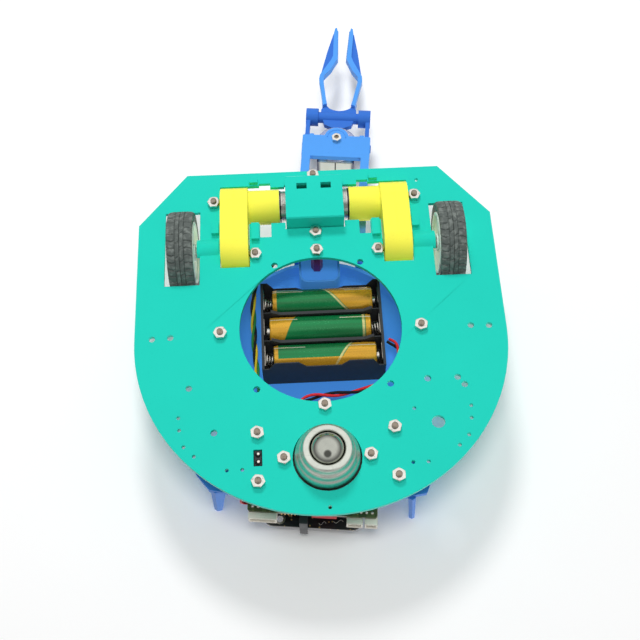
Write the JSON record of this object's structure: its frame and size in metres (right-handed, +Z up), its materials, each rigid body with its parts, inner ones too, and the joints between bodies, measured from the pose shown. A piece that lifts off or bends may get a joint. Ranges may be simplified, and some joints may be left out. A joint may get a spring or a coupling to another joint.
{
  "type": "line follower robot with gripper",
  "caption": "Wheeled line follower robot: round-backed plate, side wheels, ball caster, battery bay, upper deck and front gripper.",
  "frame": {"origin": "middle of the robot's box at ground level, where both tyres and the caster ball touch", "axes": "+Y is the driving direction, towards the gripper, +X is the robot's right side, +Z is up"},
  "size_m": [0.172, 0.2942, 0.063],
  "materials": {
    "teal_plastic": "satin moulded plastic",
    "yellow_plastic": "semi-gloss moulded plastic",
    "blue_plastic": "satin moulded plastic",
    "light_blue_plastic": "satin moulded plastic",
    "black_plastic": "fine-grained moulded plastic",
    "navy_plastic": "glossy servo case",
    "grey_plastic": "matt light grey plastic",
    "white_plastic": "matt nylon",
    "tyre_rubber": "worn matt rubber",
    "zinc_steel": "bright nickel or zinc plate",
    "polished_steel": "polished steel ball",
    "cell_foil": "printed metallic sleeve in gold and green",
    "circuit_board": "green solder mask",
    "black_board": "black solder mask",
    "violet_anodised": "violet anodised",
    "wire_insulation": "soft cable insulation"
  },
  "bodies": {
    "chassis": {"base_dish": "blue_plastic", "battery_cable": "wire_insulation", "battery_holder": "black_plastic", "board_clip": "black_plastic", "board_spacer_left": "zinc_steel", "board_spacer_right": "zinc_steel", "caster_housing": "zinc_steel", "caster_screw_1": "zinc_steel", "caster_screw_2": "zinc_steel", "cell_front": "cell_foil", "cell_middle": "cell_foil", "cell_rear": "cell_foil", "centre_bolt": "zinc_steel", "chassis_plate": "teal_plastic", "connector_inner": "white_plastic", "connector_outer": "white_plastic", "connector_right": "white_plastic", "controller_board": "black_board", "cover_screw_1": "zinc_steel", "cover_screw_2": "zinc_steel", "driver_board": "circuit_board", "gearbox_left": "yellow_plastic", "gearbox_right": "yellow_plastic", "gearbox_screw_1": "zinc_steel", "gearbox_screw_2": "zinc_steel", "gearbox_screw_3": "zinc_steel", "gearbox_screw_4": "zinc_steel", "gripper_bracket": "light_blue_plastic", "gripper_servo": "navy_plastic", "horn_screw": "zinc_steel", "line_sensor": "black_plastic", "motor_cable": "wire_insulation", "motor_cover": "teal_plastic", "motor_left": "zinc_steel", "motor_right": "zinc_steel", "rear_leg_left": "blue_plastic", "rear_leg_right": "blue_plastic", "sensor_board": "circuit_board", "sensor_board_screw_1": "zinc_steel", "sensor_board_screw_2": "zinc_steel", "sensor_board_screw_3": "zinc_steel", "sensor_board_screw_4": "zinc_steel", "sensor_cable": "wire_insulation", "servo_cable": "wire_insulation", "standoff_front": "violet_anodised", "standoff_left": "violet_anodised", "standoff_rear": "violet_anodised", "standoff_right": "violet_anodised", "upper_deck": "blue_plastic"},
    "wheel_left": {"axle_left": "zinc_steel", "rim_left": "grey_plastic", "tyre_left": "tyre_rubber"},
    "wheel_right": {"axle_right": "zinc_steel", "rim_right": "grey_plastic", "tyre_right": "tyre_rubber"},
    "caster_roller": {"caster_ball": "polished_steel"},
    "horn": {"servo_horn": "white_plastic"},
    "wrist": {"tilt_frame": "light_blue_plastic"},
    "finger_left": {"jaw_left": "light_blue_plastic"},
    "finger_right": {"jaw_right": "light_blue_plastic"}
  },
  "joints": [
    {"name": "wheel_left_spin", "type": "hinge", "parent": "chassis", "child": "wheel_left", "pos_m": [-0.0645, -0.0117, 0.02], "axis": [1, 0, 0], "continuous": true},
    {"name": "wheel_right_spin", "type": "hinge", "parent": "chassis", "child": "wheel_right", "pos_m": [0.0645, -0.0117, 0.02], "axis": [1, 0, 0], "continuous": true},
    {"name": "caster_roll", "type": "hinge", "parent": "chassis", "child": "caster_roller", "pos_m": [0, -0.1213, 0.00794], "axis": [1, 0, 0], "continuous": true},
    {"name": "horn_turn", "type": "hinge", "parent": "chassis", "child": "horn", "pos_m": [-0.01399, 0.06381, 0.038], "axis": [0, 0, 1], "range_deg": [-10, 110]},
    {"name": "gripper_tilt", "type": "hinge", "parent": "chassis", "child": "wrist", "pos_m": [-0.01401, 0.06401, 0.041], "axis": [0.9943, 0.1063, 0], "range_deg": [-25, 45]},
    {"name": "jaw_left_swing", "type": "hinge", "parent": "wrist", "child": "finger_left", "pos_m": [-0.02311, 0.08697, 0.045], "axis": [0, 0, 1], "range_deg": [-2.5, 27.5]},
    {"name": "jaw_right_swing", "type": "hinge", "parent": "wrist", "child": "finger_right", "pos_m": [-0.00998, 0.08837, 0.045], "axis": [0, 0, 1], "range_deg": [-27.5, 2.5]}
  ],
  "couplings": [
    {"joint": "jaw_left_swing", "follows": "horn_turn", "ratio": 0.25},
    {"joint": "jaw_right_swing", "follows": "horn_turn", "ratio": -0.25}
  ]
}
